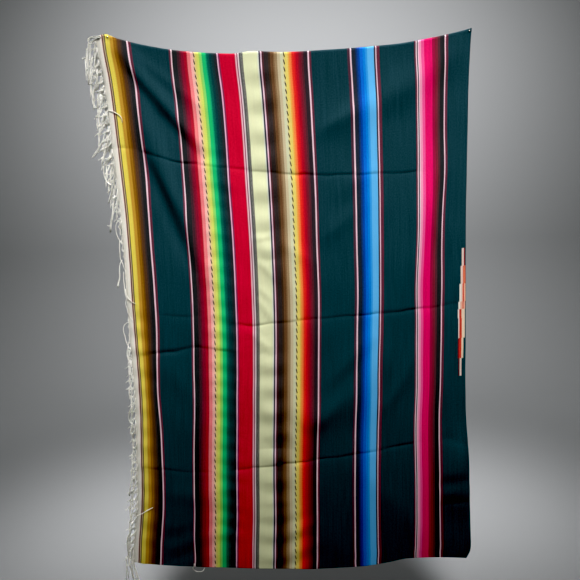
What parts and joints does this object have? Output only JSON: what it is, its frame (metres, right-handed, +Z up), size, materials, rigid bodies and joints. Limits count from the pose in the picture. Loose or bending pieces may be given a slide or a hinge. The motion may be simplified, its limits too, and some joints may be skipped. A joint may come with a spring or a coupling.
{
  "type": "mexican serape on wall pins",
  "caption": "Woven striped wool serape blanket with a cotton fringe, folded in half and hung flat on a wall from small pins at its top corners.",
  "frame": {"origin": "the left pin's axis at the face of the wall that the serape hangs on", "axes": "+X along the top of the cloth from the fringed end to the fold, +Y into the wall, +Z up along the stripes"},
  "size_m": [1.073, 0.0325, 1.6277],
  "materials": {
    "wool_weave": "weft-faced striped wool, dark teal ground, matt with a faint nap",
    "cotton_fringe": "undyed twisted cotton warp ends, matt",
    "pin_steel": "plain nickel-plated steel"
  },
  "bodies": {
    "root": {"serape_cloth": "wool_weave", "fringe_front": "cotton_fringe", "fringe_back": "cotton_fringe", "pin_left": "pin_steel", "pin_right": "pin_steel"}
  },
  "joints": []
}
